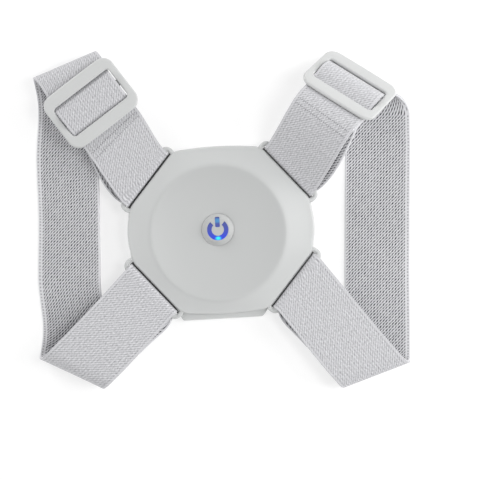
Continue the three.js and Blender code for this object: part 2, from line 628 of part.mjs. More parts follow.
// A tri-glide: a frame with a window, and a lower crossbar whose end blocks reach up to the frame.
function buckle(name, loop) {
  const outline = roundedRectangle(BUCKLE_DEPTH, BUCKLE_LENGTH, BUCKLE_CORNER);
  outline.holes.push(roundedRectangle(WINDOW_DEPTH, WINDOW_LENGTH, WINDOW_CORNER));
  const frameSolid = toSolid(slab(outline, FRAME_LOW, FRAME_LOW + BUCKLE_THICK, BUCKLE_EDGE));
  const reach = (BUCKLE_LENGTH + WINDOW_LENGTH) / 2;
  const low = CROSSBAR_LEVEL - CROSSBAR_THICK / 2;
  const bar = roundedRectangle(CROSSBAR_WIDTH, CROSSBAR_THICK, CROSSBAR_THICK / 2 - 0.1);
  const barGeometry = slab(bar, -reach / 2, reach / 2);
  barGeometry.rotateX(Math.PI / 2).translate(0, 0, CROSSBAR_LEVEL);
  let solid = frameSolid.add(toSolid(barGeometry));
  const blockWidth = BUCKLE_RAIL - 2 * CLEARANCE;
  for (const end of [-1, 1]) {
    const block = slab(roundedRectangle(CROSSBAR_SEAT, blockWidth, 1), low, FRAME_LOW + BUCKLE_THICK / 2);
    block.translate(0, end * (WINDOW_LENGTH + blockWidth) / 2, 0);
    solid = solid.add(toSolid(block));
  }
  const mesh = toMesh(name, solid, BUCKLE);
  const { origin, along, across, normal } = rollFrame(loop.buckle, 1);
  mesh.quaternion.setFromRotationMatrix(new THREE.Matrix4().makeBasis(along, across, normal));
  mesh.position.copy(origin);
  return mesh;
}

const corrector = new THREE.Group();
corrector.name = 'posture_corrector';
corrector.add(housingFront(), housingBack(), ...powerKey());
corrector.add(buckle('left_buckle', LEFT), buckle('right_buckle', RIGHT));
corrector.add(strap('left_strap', LEFT), strap('right_strap', RIGHT));

export default corrector;
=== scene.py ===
"""Looks of the posture corrector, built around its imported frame.

Lengths are millimetres until a mesh is made. Headings, tilts and skews are degrees.
"""

import math

import bpy
import numpy as np
from mathutils import Matrix, Vector


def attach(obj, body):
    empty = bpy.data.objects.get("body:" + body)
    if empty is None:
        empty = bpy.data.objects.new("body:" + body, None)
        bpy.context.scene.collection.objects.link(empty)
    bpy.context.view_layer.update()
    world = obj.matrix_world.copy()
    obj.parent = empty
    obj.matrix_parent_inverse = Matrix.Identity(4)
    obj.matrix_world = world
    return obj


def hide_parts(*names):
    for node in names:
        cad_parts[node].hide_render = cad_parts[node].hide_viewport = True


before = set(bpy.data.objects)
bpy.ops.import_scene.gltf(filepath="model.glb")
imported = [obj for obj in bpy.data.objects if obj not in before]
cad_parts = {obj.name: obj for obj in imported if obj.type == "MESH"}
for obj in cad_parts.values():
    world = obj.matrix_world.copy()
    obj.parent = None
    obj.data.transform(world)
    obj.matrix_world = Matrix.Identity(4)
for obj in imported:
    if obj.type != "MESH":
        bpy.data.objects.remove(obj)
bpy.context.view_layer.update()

MM = 0.001
UP = np.array([0.0, 0.0, 1.0])

# Named sizes of the solids, the same as in the part's source
CLEARANCE = 0.3
WEB_WIDTH = 38.0
WEB_THICK = 1.5
WEB_SIDE_LEAN = -3.3
BODY_HALF_WIDTH = 52.8
BODY_HALF_HEIGHT = 47.3
BODY_BOW = 1.0
BODY_CORNER_RADIUS = 5.0
SLOT_X = 39.2
SLOT_Y = 30.3
SLOT_ANGLE = 49.5
SLOT_LENGTH = WEB_WIDTH + 2.4
SLOT_GAP = 3.0
LUG_END = 2.4
LUG_THICK = 3.4
LUG_CORNER = 4.2
LUG_TOP = 11.6
BACK_HEIGHT = 7.2
BACK_BULGE = 0.8
SILL_X = -1.8
SILL_Y = 50.8
SILL_HALF_WIDTH = 27.0
SILL_BLEND = 5.0
WALL = 2.0
FLANGE_Z = 12.1
RIM_Z = 14.5
DISH_RADIUS = 39.0
DISH_DEPTH = 4.2
DISH_POWER = 2.4
DISH_X = -1.6
DISH_Y = -1.4
KEY_RADIUS = 9.1
KEY_CROWN_RADIUS = 7.0
KEY_RISE = 2.3
KEY_HOLE = KEY_RADIUS + CLEARANCE
KEY_AT = (-1.75, 0.3)
SYMBOL_RADIUS = 6.15
SYMBOL_STROKE = 2.6
SYMBOL_OPENING = 42.0
SYMBOL_BAR_WIDTH = 2.7
SYMBOL_BAR_TOP = 7.4
SYMBOL_BAR_BOTTOM = 1.5
SYMBOL_DEPTH = 0.8
SYMBOL_PROUD = 0.15
BUCKLE_DEPTH = 34.6
BUCKLE_THICK = 2.5
BUCKLE_CORNER = 6.5
WINDOW_LENGTH = WEB_WIDTH + 1.2
BUCKLE_LENGTH = WINDOW_LENGTH + 8.6
WINDOW_DEPTH = 19.8
WINDOW_CORNER = 2.0
CROSSBAR_WIDTH = 4.0
CROSSBAR_THICK = 2.2
CROSSBAR_SEAT = 5.0
TAIL_PAST_BUCKLE = 9.0
LOWER_TAIL_LENGTH = 34.0
BACK_SHIFT = 3.0
TAIL_SHIFT = 2.2

# How each loop lies, the same as in the part's source. A fold is the heading of the line along which the
# webbing turns over, and a swing is how far that line has turned at the end. The side run's rows are x, y
# and how much higher its inner edge lies. The seam, which only the scene has, is given by its distance
# from the buckle's edge and its slant.
LEFT = {
    "side": -1,
    "top_heading": 126.9,
    "top_rise": 5,
    "buckle": {"x": -69.8, "y": 76.6, "z": 16.6, "tilt": 0, "fold": 201, "skew": 13.3, "swing": -2.3},
    "top_roll": (20.3, -1.8),
    "side_run": [(-87, 48, 8), (-88.1, 10, 10), (-90, -22, 8)],
    "bottom_roll": {"x": -83.8, "y": -72.8, "z": 16.4, "tilt": 0, "fold": 149, "skew": 18, "swing": 6},
    "bottom_heading": 45,
    "seam": (1.9, 3.4),
}
RIGHT = {
    "side": 1,
    "top_heading": 50.5,
    "top_rise": 28,
    "buckle": {"x": 77.3, "y": 76.4, "z": 21.6, "tilt": 39, "fold": 159.5, "skew": -21.5, "swing": 0},
    "top_roll": None,
    "side_run": [(95.4, 62, 0), (94.6, 44, 0), (92.1, 5, 0), (90.1, -28, 0)],
    "bottom_roll": {"x": 79.8, "y": -83.6, "z": 13.8, "tilt": 0, "fold": 197.7, "skew": -21, "swing": 0},
    "bottom_heading": 127,
    "seam": (9.2, 0.0),
}


def unit(v):
    return v / np.linalg.norm(v)


def heading(degrees):
    """A level direction, counted anticlockwise from X as seen from above."""
    a = math.radians(degrees)
    return np.array([math.cos(a), math.sin(a), 0.0])


def turned(v, degrees):
    """v turned about the Z axis."""
    cos, sin = math.cos(math.radians(degrees)), math.sin(math.radians(degrees))
    return np.array([v[0] * cos - v[1] * sin, v[0] * sin + v[1] * cos, v[2]])


# Meshes


def add_mesh(name, points, faces, material, smooth=True):
    """A mesh object in metres from points in millimetres."""
    mesh = bpy.data.meshes.new(name)
    mesh.from_pydata((np.asarray(points, float) * MM).tolist(), [], faces)
    mesh.polygons.foreach_set("use_smooth", [smooth] * len(mesh.polygons))
    mesh.materials.append(material)
    mesh.update()
    obj = bpy.data.objects.new(name, mesh)
    bpy.context.scene.collection.objects.link(obj)
    return obj


def piece(obj, body, node):
    """Puts a piece on its body, and hides the imported node that it stands for."""
    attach(obj, body)
    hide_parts(node)


def stack_faces(rings, count, closed):
    """Quads between rings of count points. Open stacks get a flat face at each end."""
    faces = []
    for k in range(rings if closed else rings - 1):
        a, b = k * count, ((k + 1) % rings) * count
        for i in range(count):
            j = (i + 1) % count
            faces.append((a + i, a + j, b + j, b + i))
    if not closed:
        last = (rings - 1) * count
        faces.append(tuple(range(count - 1, -1, -1)))
        faces.append(tuple(range(last, last + count)))
    return faces


def arc_profile(radius, start, end, steps):
    """Points (x, y) on an arc about the origin, for rounded edges."""
    turns = np.radians(np.linspace(start, end, steps + 1))
    return [(radius * math.cos(t), radius * math.sin(t)) for t in turns]


def rounded_rectangle(width, height, radius, corner_steps, side_steps, bow=0.0):
    """Points and outward directions of a rounded rectangle. Its long sides can bow outward."""
    x, y = width / 2, height / 2
    points, normals = [], []
    corners = [
        (x - radius, -y + radius, -90),
        (x - radius, y - radius, 0),
        (-x + radius, y - radius, 90),
        (-x + radius, -y + radius, 180),
    ]
    for i, (cx, cy, start) in enumerate(corners):
        for k in range(corner_steps + 1):
            a = math.radians(start + 90 * k / corner_steps)
            points.append((cx + radius * math.cos(a), cy + radius * math.sin(a)))
            normals.append((math.cos(a), math.sin(a)))
        nx, ny, _ = corners[(i + 1) % 4]
        a = math.radians(start + 90)
        end = np.array([cx + radius * math.cos(a), cy + radius * math.sin(a)])
        nxt = np.array([nx + radius * math.cos(a), ny + radius * math.sin(a)])
        for k in range(1, side_steps):
            points.append(tuple(end + (nxt - end) * k / side_steps))
            normals.append((math.cos(a), math.sin(a)))
    points, normals = np.array(points), np.array(normals)
    if bow:
        span = 1 - (2 * points[:, 1] / height) ** 2
        points[:, 0] += np.sign(points[:, 0]) * bow * span * (np.abs(points[:, 0]) > x * 0.5)
    return points, normals


def frame_plate(outer, inner, low, high, edge, steps=5):
    """Points and faces of a plate with a window: a section that runs round both outlines."""
    rings = []
    quarters = ((outer, 1, -90, 0, low + edge), (outer, 1, 0, 90, high - edge),
                (inner, -1, 90, 0, high - edge), (inner, -1, 0, -90, low + edge))
    for (points, normals), way, start, end, middle in quarters:
        for c, s in arc_profile(edge, start, end, steps):
            p = points + normals * (way * (c - edge))
            rings.append(np.column_stack([p, np.full(len(p), middle + s)]))
    return np.concatenate(rings), stack_faces(len(rings), len(outer[0]), True)


def rounded_bar(length, width, thick, radius, steps=5):
    """Points and faces of a bar along Y with rounded edges, centred on the origin."""
    section, normals = rounded_rectangle(width, thick, radius, steps, 2)
    rings = []
    half, chamfer = length / 2, 0.4
    for y, inset in ((-half, chamfer), (-half + chamfer, 0), (half - chamfer, 0), (half, chamfer)):
        p = section - normals * inset
        rings.append(np.column_stack([p[:, 0], np.full(len(p), y), p[:, 1]]))
    faces = [f[::-1] for f in stack_faces(len(rings), len(section), False)]
    return np.concatenate(rings), faces


def join(parts):
    """Several (points, faces) as one."""
    points, faces, offset = [], [], 0
    for p, f in parts:
        points.append(p)
        faces.extend(tuple(i + offset for i in face) for face in f)
        offset += len(p)
    return np.concatenate(points), faces


def place(points, origin, x_axis, y_axis, z_axis):
    """Points moved into the given axes."""
    return origin + points @ np.array([x_axis, y_axis, z_axis])


# Shader arithmetic


class Field:
    """A number in a material's nodes, with plain arithmetic."""

    def __init__(self, tree, socket):
        self.tree, self.socket = tree, socket

    def math(self, operation, *others):
        node = self.tree.nodes.new("ShaderNodeMath")
        node.operation = operation
        for i, value in enumerate((self, *others)):
            if isinstance(value, Field):
                self.tree.links.new(value.socket, node.inputs[i])
            else:
                node.inputs[i].default_value = value
        return Field(self.tree, node.outputs[0])

    def __add__(self, other):
        return self.math("ADD", other)

    def __radd__(self, other):
        return self.math("ADD", other)

    def __sub__(self, other):
        return self.math("SUBTRACT", other)

    def __rsub__(self, other):
        return (self * -1.0).math("ADD", other)

    def __mul__(self, other):
        return self.math("MULTIPLY", other)

    def __truediv__(self, other):
        return self.math("DIVIDE", other)

    def sin(self):
        return self.math("SINE")

    def cos(self):
        return self.math("COSINE")

    def fract(self):
        return self.math("FRACT")

    def abs(self):
        return self.math("ABSOLUTE")

    def least(self, other):
        return self.math("MINIMUM", other)

    def most(self, other):
        return self.math("MAXIMUM", other)

    def step(self, low, high):
        """0 below low, 1 above high, smooth between."""
        node = self.tree.nodes.new("ShaderNodeMapRange")
        node.interpolation_type = "SMOOTHSTEP"
        self.tree.links.new(self.socket, node.inputs["Value"])
        node.inputs["From Min"].default_value = low
        node.inputs["From Max"].default_value = high
        return Field(self.tree, node.outputs[0])


class Material:
    """A node material with a principled shader, and the few nodes that these surfaces need."""

    def __init__(self, name, roughness, **shader):
        self.data = bpy.data.materials.new(name)
        self.data.use_nodes = True
        self.tree = self.data.node_tree
        self.shader = self.tree.nodes["Principled BSDF"]
        self.shader.inputs["Roughness"].default_value = roughness
        for key, value in shader.items():
            self.shader.inputs[key.replace("_", " ")].default_value = value

    def new(self, kind):
        return self.tree.nodes.new(kind)

    def link(self, output, target):
        self.tree.links.new(output, target)

    def position(self):
        """The three object coordinates in millimetres."""
        split = self.new("ShaderNodeSeparateXYZ")
        self.link(self.new("ShaderNodeTexCoord").outputs["Object"], split.inputs[0])
        return [Field(self.tree, o) * (1 / MM) for o in split.outputs]

    def attribute(self, name):
        node = self.new("ShaderNodeAttribute")
        node.attribute_name = name
        split = self.new("ShaderNodeSeparateXYZ")
        self.link(node.outputs["Vector"], split.inputs[0])
        return [Field(self.tree, o) for o in split.outputs]

    def noise(self, coordinates, scale, detail=2.0):
        """Smooth noise from 0 to 1 at coordinates given as three fields."""
        join_node = self.new("ShaderNodeCombineXYZ")
        for value, target in zip(coordinates, join_node.inputs):
            if isinstance(value, Field):
                self.link(value.socket, target)
            else:
                target.default_value = value
        node = self.new("ShaderNodeTexNoise")
        node.inputs["Scale"].default_value = scale
        node.inputs["Detail"].default_value = detail
        self.link(join_node.outputs[0], node.inputs["Vector"])
        return Field(self.tree, node.outputs["Fac"])

    def mix(self, factor, first, second):
        """A colour between two colours or colour sockets."""
        node = self.new("ShaderNodeMix")
        node.data_type = "RGBA"
        self.link(factor.socket, node.inputs["Factor"])
        for value, key in ((first, 6), (second, 7)):
            if isinstance(value, tuple):
                node.inputs[key].default_value = (*value, 1)
            else:
                self.link(value, node.inputs[key])
        return node.outputs[2]

    def colour(self, socket):
        self.link(socket, self.shader.inputs["Base Color"])

    def rough(self, field):
        self.link(field.socket, self.shader.inputs["Roughness"])

    def bump(self, height, distance):
        """Relief from a height field from 0 to 1, distance millimetres deep."""
        node = self.new("ShaderNodeBump")
        node.inputs["Strength"].default_value = 1.0
        node.inputs["Distance"].default_value = distance * MM
        self.link(height.socket, node.inputs["Height"])
        self.link(node.outputs[0], self.shader.inputs["Normal"])


# Moulded plastic. A scale is that of a noise, per millimetre.
CLOUD_SCALE = 0.05
GLOSS_SCALE = 0.4
GLOSS_CHANGE = 0.03
GRAIN_SCALE = 4.0
PLASTIC_SPECULAR = 0.32


def moulded(name, dark, light, roughness, grain=0.012, dish=1.0):
    """Moulded plastic, a little cloudy, with a fine grain. The dish is plain, and a dish factor below 1
    darkens it as painted shade.
    """
    m = Material(name, roughness, Specular_IOR_Level=PLASTIC_SPECULAR)
    at = m.position()
    cloudy = m.mix(m.noise(at, CLOUD_SCALE, 3.0), dark, light)
    x, y = at[0] - DISH_X, at[1] - DISH_Y
    # Inside the dish the colour is the plain mean times dish, so a dish below 1 is painted shade
    within = 1.0 - (x * x + y * y).math("SQRT").step(DISH_RADIUS - 1.5, DISH_RADIUS + 3.0)
    m.colour(m.mix(within, cloudy, tuple(dish * (a + b) / 2 for a, b in zip(dark, light))))
    m.rough(roughness - GLOSS_CHANGE + m.noise(at, GLOSS_SCALE, 2.0) * (2 * GLOSS_CHANGE))
    m.bump(m.noise(at, GRAIN_SCALE, 3.0), grain)
    return m.data


# The housing's dish is painted a tenth darker as painted shade
HOUSING_PLASTIC = moulded("housing_plastic", (0.53, 0.54, 0.537), (0.555, 0.565, 0.562), 0.4, dish=0.9)
# The back cover is the front's plastic painted lighter, as painted light on its side wall
BACK_PLASTIC = moulded("back_plastic", (0.57, 0.58, 0.577), (0.60, 0.61, 0.607), 0.5, 0.03)
# The key's plastic is a little darker than the housing's, near the dish's painted shade
KEY_PLASTIC = moulded("key_plastic", (0.455, 0.462, 0.46), (0.475, 0.482, 0.48), 0.42)
BUCKLE_PLASTIC = moulded("buckle_plastic", (0.55, 0.558, 0.555), (0.575, 0.582, 0.579), 0.42)


LIT_BLUE = (0.02, 0.62, 0.85)       # over the light
NEAR_BLUE = (0.03, 0.06, 0.6)       # next to it
FAR_BLUE = (0.07, 0.09, 0.34)
END_BLUE = (0.05, 0.06, 0.14)       # at the ring's two ends and the top of the bar
BAR_BLUE = (0.08, 0.3, 0.55)        # in the upper half of the bar


def lit_symbol():
    """Clear blue over a light that sits behind the bottom of the ring."""
    m = Material("symbol_light", 0.28, Coat_Weight=0.3)
    x, y, _ = m.position()
    x, y = x - KEY_AT[0], y - KEY_AT[1]
    # The light itself, its fading upward, the bright place in the bar, and the ends that it doesn't reach
    below = (y + 5.0) * 1.5
    glow = 1.0 - (x * x + below * below).math("SQRT").step(0.2, 2.4)
    spread = 1.0 - (y + 6.3).step(0.0, 9.0)
    high = 1.0 - ((y - 5.2) * 0.6).abs().step(0.2, 1.2)
    ends = (y - 2.6).step(0.0, 2.4) * (x.abs() - 1.6).step(0.0, 0.4) + (y - 6.4).step(0.0, 1.0)
    base = m.mix(spread, FAR_BLUE, NEAR_BLUE)
    dim = m.mix(ends.least(1.0) * 0.7, base, END_BLUE)
    tinted = m.mix(high * (1.0 - (x.abs() - 1.0).step(0.0, 0.8)) * 0.8, dim, BAR_BLUE)
    lit = m.mix(glow, tinted, LIT_BLUE)
    m.colour(lit)
    m.link(lit, m.shader.inputs["Emission Color"])
    m.link((glow * 0.7 + spread * 0.12 + 0.06).socket, m.shader.inputs["Emission Strength"])
    return m.data


SYMBOL_LIGHT = lit_symbol()

# Webbing
WALE = 1.8                          # from one column of loops to the next
COURSE = 1.86                       # from row to row
SELVAGE = 1.9
OUTER_SELVAGE = 2.9                 # on the inside of the webbing, along the loop's outer edge
RIBS = round((WEB_WIDTH - 2 * SELVAGE) / WALE)
PITCH = (WEB_WIDTH - 2 * SELVAGE) / RIBS
SEAM_GAP = 3.3                      # between the two rows of stitches of the sewn end
STITCH = 1.25                       # from one stitch of the seam to the next
FACE_PALE = (0.69, 0.69, 0.71)
FACE_DARK = (0.29, 0.29, 0.305)
# Painted shade in the stitch holes of the sewn end
STITCH_HOLE_SHADE = (0.08, 0.08, 0.09)
MESH_PALE = (0.645, 0.645, 0.665)
# Painted shade in the openings of the inside's mesh and the hem's dots
MESH_HOLE_SHADE = (0.03, 0.03, 0.04)


def woven():
    """Knitted elastic: fine heathered loops on its face, and on its inside a mesh of slanted openings."""
    m = Material("webbing", 0.9, Sheen_Weight=0.2, Sheen_Roughness=0.5, Specular_IOR_Level=0.25)
    # Along the webbing, across it, and 1 on its face or -1 on its inside
    s, t, face = m.attribute("weave")
    seam, outer, _ = m.attribute("seam")
    inside = (face * -1.0).step(-0.2, 0.2)
    edge = t.least(WEB_WIDTH - t)
    body = edge.step(SELVAGE - 0.35, SELVAGE + 0.1)
    wander = m.noise((s, t, 0.0), 0.35, 2.0) - 0.5
    column = (t - SELVAGE) / PITCH + wander * 0.3
    row = s / COURSE + wander * 0.35
    turn = 2 * math.pi
    # The face: loops in columns, heathered by noise, and a smooth rim with a row of dots beside it
    fleck = m.noise((s * 0.8, t * 1.25, 7.0), 1.0, 1.0)
    cloud = m.noise((s * 0.35, t * 0.5, 2.0), 1.0, 2.0)
    valley = (column * turn).cos() * 0.5 + 0.5
    loop = ((row - column) * turn).sin() * 0.5 + 0.5
    streak = valley * 0.2 + loop * 0.42 + fleck * 1.1 + cloud * 0.3 - 0.56
    dots = (1.0 - (edge - SELVAGE + 0.25).abs().step(0.0, 0.35)) * ((row * turn).sin() * 0.5 + 0.5)
    rim = edge.step(SELVAGE - 0.6, SELVAGE)
    shade = (streak * (rim * 0.55 + 0.45) + dots * 0.35 + (1.0 - rim) * 0.14).most(0.0).least(1.0)
    face_colour = m.mix(shade, FACE_PALE, FACE_DARK)
    # The sewn end's two rows of stitches, their holes painted dark as shade
    stitch_row = 1.0 - seam.abs().least((seam - SEAM_GAP).abs()).step(0.22, 0.5)
    stitch = stitch_row * ((t / STITCH * turn).sin() - 0.1).step(0.0, 0.5) * body
    face_colour = m.mix(stitch * 0.65, face_colour, STITCH_HOLE_SHADE)
    # The inside: slanted holes between bridges, and along the outer edge of the loop a hem with its own dots,
    # all painted near black as the shade inside them
    diagonal = ((column + row + 0.5).fract() - 0.5).abs()
    bridge = ((column - 0.5) * turn).cos() * 0.5 + 0.5
    uneven = m.noise((s, t, 3.0), 0.8, 1.0)
    hole = ((1.0 - diagonal.step(0.12, 0.38)) * (bridge * 0.65 + 0.35) * (uneven * 1.1 + 0.5)).least(1.0)
    border = outer.step(OUTER_SELVAGE - 0.4, OUTER_SELVAGE).most(seam.step(-60.0, -50.0))
    hem_row = 1.0 - (outer - 1.1).abs().step(0.2, 0.55)
    hemmed = hem_row * (row * turn).sin().step(-0.2, 0.6) * (1.0 - border)
    hole = (hole * edge.step(0.8, 1.2) * border).most(hemmed * 0.55)
    mesh_colour = m.mix(hole, MESH_PALE, MESH_HOLE_SHADE)
    m.colour(m.mix(inside, face_colour, mesh_colour))
    relief = (1.0 - shade) * (1.0 - inside) + (1.0 - hole) * inside
    m.bump(relief, 0.15)
    return m.data


WEBBING = woven()


OUTLINE_CORNER_STEPS = 14
OUTLINE_EDGE_STEPS = 22


def outline_points():
    """The housing's outline: an octagon whose slanted edges are the slots' inner edges, finely divided."""
    along, _, centre = slot_frame(1, 1)
    at_top = centre + along * (BODY_HALF_HEIGHT - centre[1]) / along[1]
    at_side = centre + along * (BODY_HALF_WIDTH - centre[0]) / along[0]
    corners = []
    for sx, sy in ((1, 1), (-1, 1), (-1, -1), (1, -1)):
        pair = [at_side[:2] * (sx, sy), at_top[:2] * (sx, sy)]
        corners.extend(pair if sx * sy > 0 else pair[::-1])

    def bezier(a, b, c, steps):
        u = np.linspace(0, 1, steps + 1)[:, None]
        return (1 - u) ** 2 * a + 2 * u * (1 - u) * b + u * u * c

    points = []
    for i, here in enumerate(corners):
        before, after = corners[i - 1], corners[(i + 1) % 8]
        start = here + unit(before - here) * BODY_CORNER_RADIUS
        end = here + unit(after - here) * BODY_CORNER_RADIUS
        points.extend(bezier(start, here, end, OUTLINE_CORNER_STEPS)[:-1])
        following = after + unit(here - after) * BODY_CORNER_RADIUS
        middle = (end + following) / 2
        if i % 2 == 1:
            middle = unit(middle) * (np.linalg.norm(middle) + 2 * BODY_BOW)
        points.extend(bezier(end, middle, following, OUTLINE_EDGE_STEPS)[:-1])
    return np.array(points)


def slot_frame(side, top):
    """Directions along a slot and out of the housing, and the middle of the slot's inner edge."""
    cos, sin = math.cos(math.radians(SLOT_ANGLE)), math.sin(math.radians(SLOT_ANGLE))
    along = np.array([-side * cos, top * sin, 0.0])
    out = np.array([side * sin, top * cos, 0.0])
    return along, out, np.array([side * SLOT_X, top * SLOT_Y, 0.0])


OUTLINE = outline_points()
OUTLINE_ANGLE = np.arctan2(OUTLINE[:, 1], OUTLINE[:, 0])
OUTLINE_MEAN = (BODY_HALF_WIDTH + BODY_HALF_HEIGHT) / 2


def dish_z(radius):
    """Height of the dish's surface at a distance from its middle."""
    return RIM_Z - DISH_DEPTH * (1 - (radius / DISH_RADIUS) ** DISH_POWER)


def smooth(values, low, high):
    """0 below low, 1 above high, smooth between."""
    u = np.clip((values - low) / (high - low), 0, 1)
    return u * u * (3 - 2 * u)


def housing_ring(z, radius=DISH_RADIUS, blend=1.0, inset=0.0, sill=False):
    """A ring round the housing, from a circle of the given radius (blend 0) to the outline (blend 1)."""
    share = (radius - KEY_HOLE) / (DISH_RADIUS - KEY_HOLE)
    x, y = KEY_AT[0] * (1 - share) + DISH_X * share, KEY_AT[1] * (1 - share) + DISH_Y * share
    circle = np.column_stack([radius * np.cos(OUTLINE_ANGLE) + x, radius * np.sin(OUTLINE_ANGLE) + y])
    edge = OUTLINE * (1 - inset / OUTLINE_MEAN)
    flat = circle + (edge - circle) * blend
    if sill:
        near = smooth(-OUTLINE[:, 1], BODY_HALF_HEIGHT - SILL_BLEND, BODY_HALF_HEIGHT - 1)
        inside = smooth(SILL_HALF_WIDTH - np.abs(OUTLINE[:, 0] - SILL_X), 0, SILL_BLEND)
        flat[:, 1] += (inset - SILL_Y - flat[:, 1]) * near * inside
    return np.column_stack([flat, np.full(len(flat), z)])


def housing_shell():
    """The front: from the key's hole over the dish, the rim and the flange, and back on the inside."""
    foot = BACK_HEIGHT + CLEARANCE
    rim_round, edge_round, foot_chamfer = 1.6, 1.0, 0.25
    rim_drop, rim_blend, fall_power = 0.28, 0.06, 1.35
    hole_top = dish_z(KEY_HOLE)
    rings = [housing_ring(hole_top - WALL, KEY_HOLE, 0), housing_ring(hole_top - 0.12, KEY_HOLE, 0)]
    rings.append(housing_ring(hole_top - 0.02, KEY_HOLE + 0.06, 0))
    slope, near_rim = np.linspace(KEY_HOLE + 0.35, 30, 16), np.linspace(31, DISH_RADIUS - rim_round, 9)
    for radius in (*slope, *near_rim):
        rings.append(housing_ring(dish_z(radius), radius, 0))
    # Over the rim, along a curve from the dish's slope to the flange's
    start_z = dish_z(DISH_RADIUS - rim_round)
    rim_in = np.array([DISH_RADIUS - rim_round, start_z])
    slope_in = DISH_DEPTH * DISH_POWER / DISH_RADIUS
    peak = np.array([DISH_RADIUS - 0.2, start_z + slope_in * (rim_round - 0.2)])
    rim_out = np.array([DISH_RADIUS, RIM_Z - rim_drop])
    for u in np.linspace(0, 1, 9)[1:]:
        r, z = (1 - u) ** 2 * rim_in + 2 * u * (1 - u) * peak + u * u * rim_out
        rings.append(housing_ring(z, r, rim_blend * u * u))
    fall = RIM_Z - rim_drop - FLANGE_Z
    for u in np.linspace(0, 1, 15)[1:]:
        z = FLANGE_Z + fall * (1 - u) ** fall_power
        rings.append(housing_ring(z, DISH_RADIUS, rim_blend + (1 - rim_blend) * u, edge_round * u))
    for c, s in arc_profile(edge_round, 90, 0, 8)[1:]:
        rings.append(housing_ring(FLANGE_Z - edge_round + s, DISH_RADIUS, 1, edge_round - c))
    rings.append(housing_ring(foot + foot_chamfer))
    rings.append(housing_ring(foot, inset=foot_chamfer))
    rings.append(housing_ring(foot, inset=WALL))
    rings.append(housing_ring(FLANGE_Z - WALL - 0.2, inset=WALL))
    for radius in (DISH_RADIUS, 25.0, KEY_HOLE + 1):
        rings.append(housing_ring(dish_z(radius) - WALL - 0.1, radius, 0))
    return np.concatenate(rings), [f[::-1] for f in stack_faces(len(rings), len(OUTLINE), True)]


def lug(side, top):
    """One corner's bar and the two ears that hold it."""
    _, out, centre = slot_frame(side, top)
    reach = SLOT_GAP + LUG_THICK
    inner_end, slot_corner, edge_round = -3.0, 0.9, 1.1
    half_out = (reach - inner_end) / 2
    outer = rounded_rectangle(2 * half_out, SLOT_LENGTH + 2 * LUG_END, LUG_CORNER, 8, 10)
    inner = rounded_rectangle(SLOT_GAP, SLOT_LENGTH, slot_corner, 8, 10)
    outer[0][:, 0] += inner_end + half_out
    inner[0][:, 0] += SLOT_GAP / 2
    points, faces = frame_plate(outer, inner, LUG_TOP - LUG_THICK, LUG_TOP, edge_round)
    return place(points, centre, out, np.cross(UP, out), UP), faces


def build_housing():
    parts = [housing_shell()] + [lug(side, top) for side in (-1, 1) for top in (-1, 1)]
    points, faces = join(parts)
    obj = add_mesh("housing_front_shell", points, faces, HOUSING_PLASTIC)
    piece(obj, "corrector", "housing_front")


def build_back():
    """The cover: rounded at its foot, bulged at its side, with a lip inside the front."""
    bulge_foot, bulge_top = 2.6, BACK_HEIGHT - 0.3
    lip_inset, lip_thick, lip_top, floor_top = WALL + CLEARANCE, 1.5, BACK_HEIGHT + 1.8, 2.0
    # Rows of inset and z
    section = [(5.0, 0.0), (4.2, 0.03), (3.3, 0.16), (2.2, 0.5), (1.2, 1.1), (0.45, 2.0)]
    for z in np.linspace(bulge_foot, bulge_top, 8):
        u = (z - bulge_foot) / (bulge_top - bulge_foot)
        section.append((-BACK_BULGE * math.sin(math.pi * (0.12 + 0.74 * u)), z))
    section += [(0.1, BACK_HEIGHT), (lip_inset, BACK_HEIGHT)]
    section += [(lip_inset, lip_top), (lip_inset + lip_thick, lip_top)]
    low_part = BACK_HEIGHT - 3
    rings = [housing_ring(z, inset=inset, sill=inset < WALL or z < low_part) for inset, z in section]
    rings.append(housing_ring(floor_top, inset=lip_inset + lip_thick))
    points, faces = np.concatenate(rings), stack_faces(len(rings), len(OUTLINE), False)
    obj = add_mesh("housing_back_shell", points, faces, BACK_PLASTIC)
    piece(obj, "corrector", "housing_back")


def build_key():
    """The key: a straight skirt that fills its hole, and a crown that rises from the dish to a flat top."""
    top = dish_z(0) + KEY_RISE
    low = dish_z(KEY_RADIUS) - WALL - CLEARANCE
    skirt, chamfer = KEY_HOLE - 0.06, 0.4
    crown, fullness = KEY_CROWN_RADIUS - 0.6, 0.85
    foot = dish_z(KEY_HOLE)
    # Rows of radius and z
    profile = [(0.6, low), (skirt - chamfer, low), (skirt, low + chamfer), (skirt, foot - 0.02)]
    for u in np.linspace(0, 1, 19)[1:]:
        rise = (0.5 - 0.5 * math.cos(math.pi * u)) ** fullness
        profile.append((skirt - (skirt - crown) * u, foot + (top - foot) * rise))
    profile += [(4.0, top + 0.005), (2.0, top + 0.01), (0.5, top + 0.01)]
    count = 96
    turns = np.linspace(0, 2 * math.pi, count, endpoint=False)
    cos, sin = np.cos(turns), np.sin(turns)
    x, y = KEY_AT
    rings = [np.column_stack([x + r * cos, y + r * sin, np.full(count, z)]) for r, z in profile]
    faces = stack_faces(len(rings), count, False)
    obj = add_mesh("power_key", np.concatenate(rings), faces, KEY_PLASTIC)
    piece(obj, "key", "power_button")


